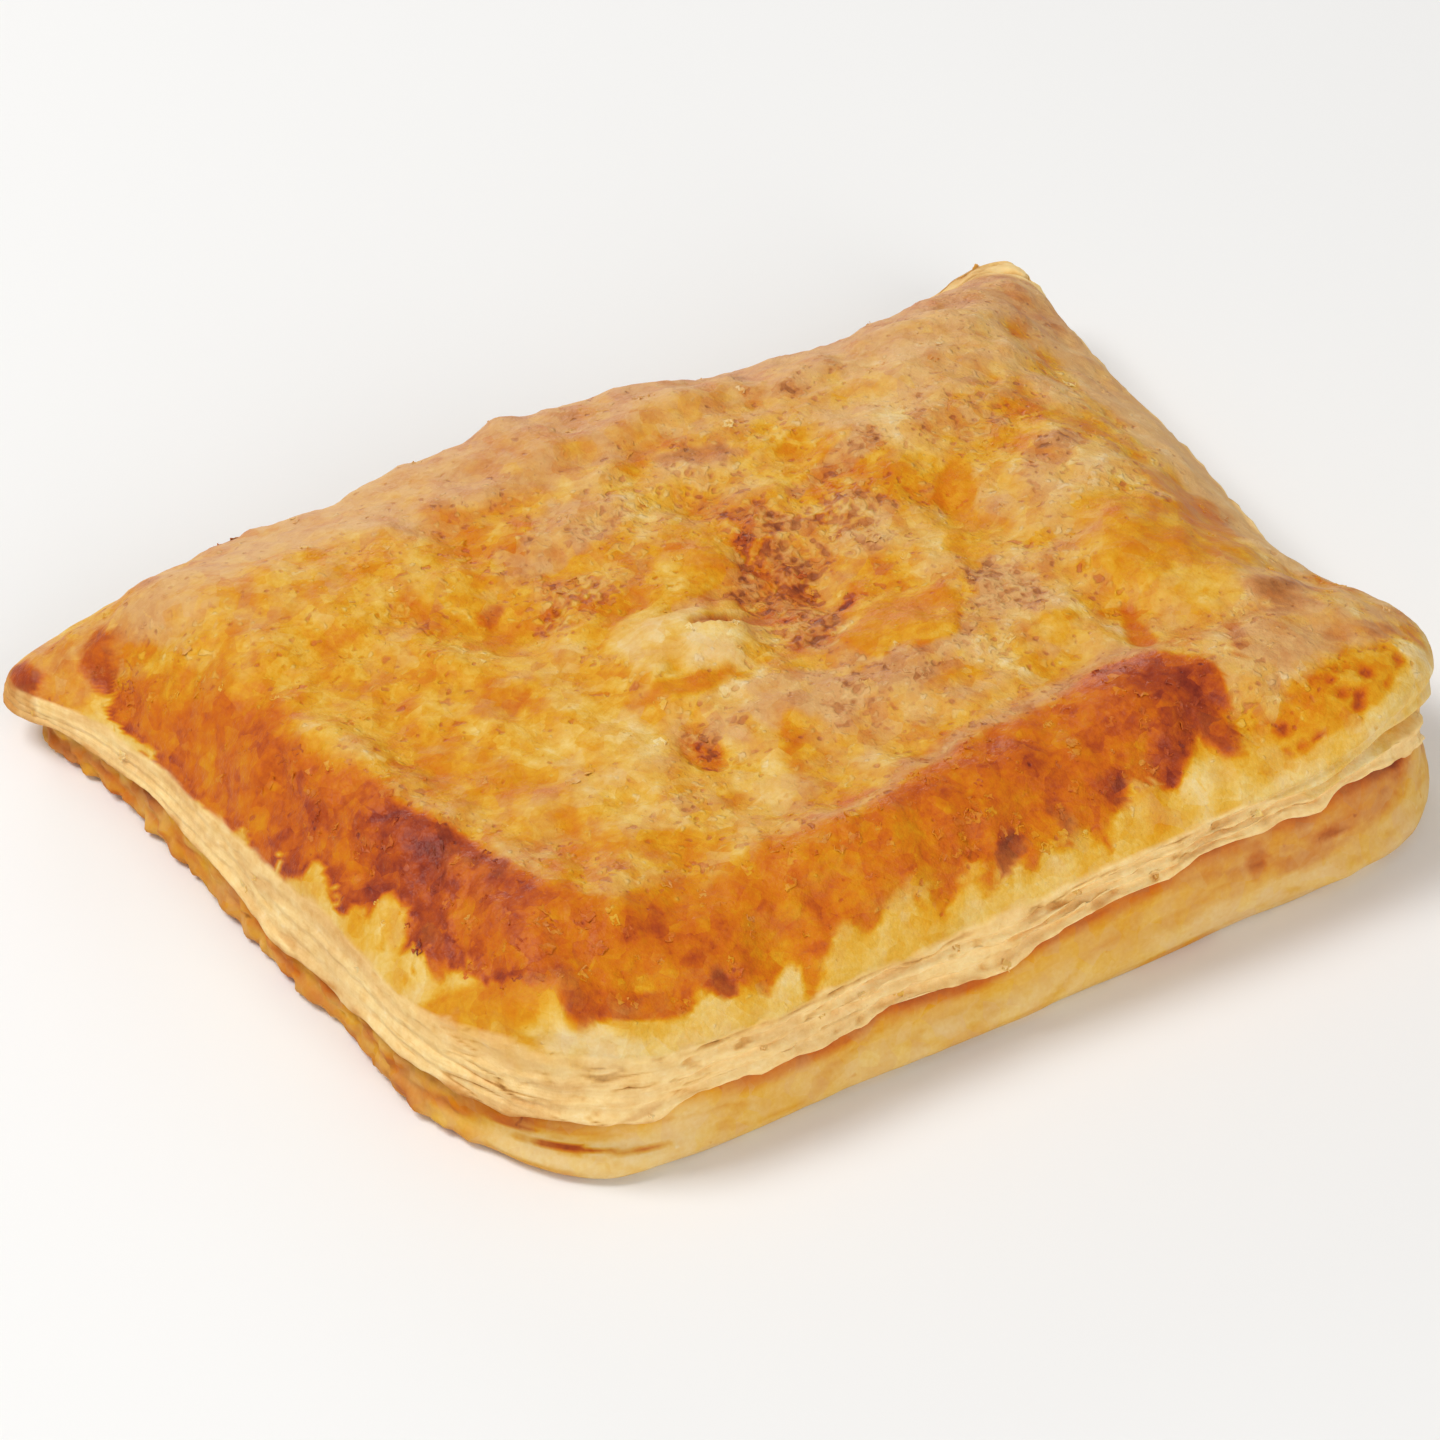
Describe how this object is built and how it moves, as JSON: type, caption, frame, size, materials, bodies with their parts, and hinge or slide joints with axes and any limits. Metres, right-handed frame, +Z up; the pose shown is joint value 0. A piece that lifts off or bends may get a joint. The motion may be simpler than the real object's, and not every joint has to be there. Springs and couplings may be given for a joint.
{
  "type": "puff pastry pie",
  "caption": "Hand-held savoury pie: a puffed, browned puff pastry lid over a closed filling, sealed to a flat pastry base with a laminated cut edge all round.",
  "frame": {"origin": "under the middle of the pie's box, on the face it stands on", "axes": "+X along the pie's long side, +Y away from the long side that faces the viewer, +Z up"},
  "size_m": [0.1446, 0.1148, 0.0283],
  "materials": {
    "base_crust": "baked puff pastry, pale golden tan, dry and matt",
    "lid_crust": "egg-washed puff pastry, golden yellow browned to orange and red-brown along the front shoulders, satin, with pale cream cut edges"
  },
  "bodies": {
    "root": {"pastry_base": "base_crust", "pastry_lid": "lid_crust"}
  },
  "joints": []
}
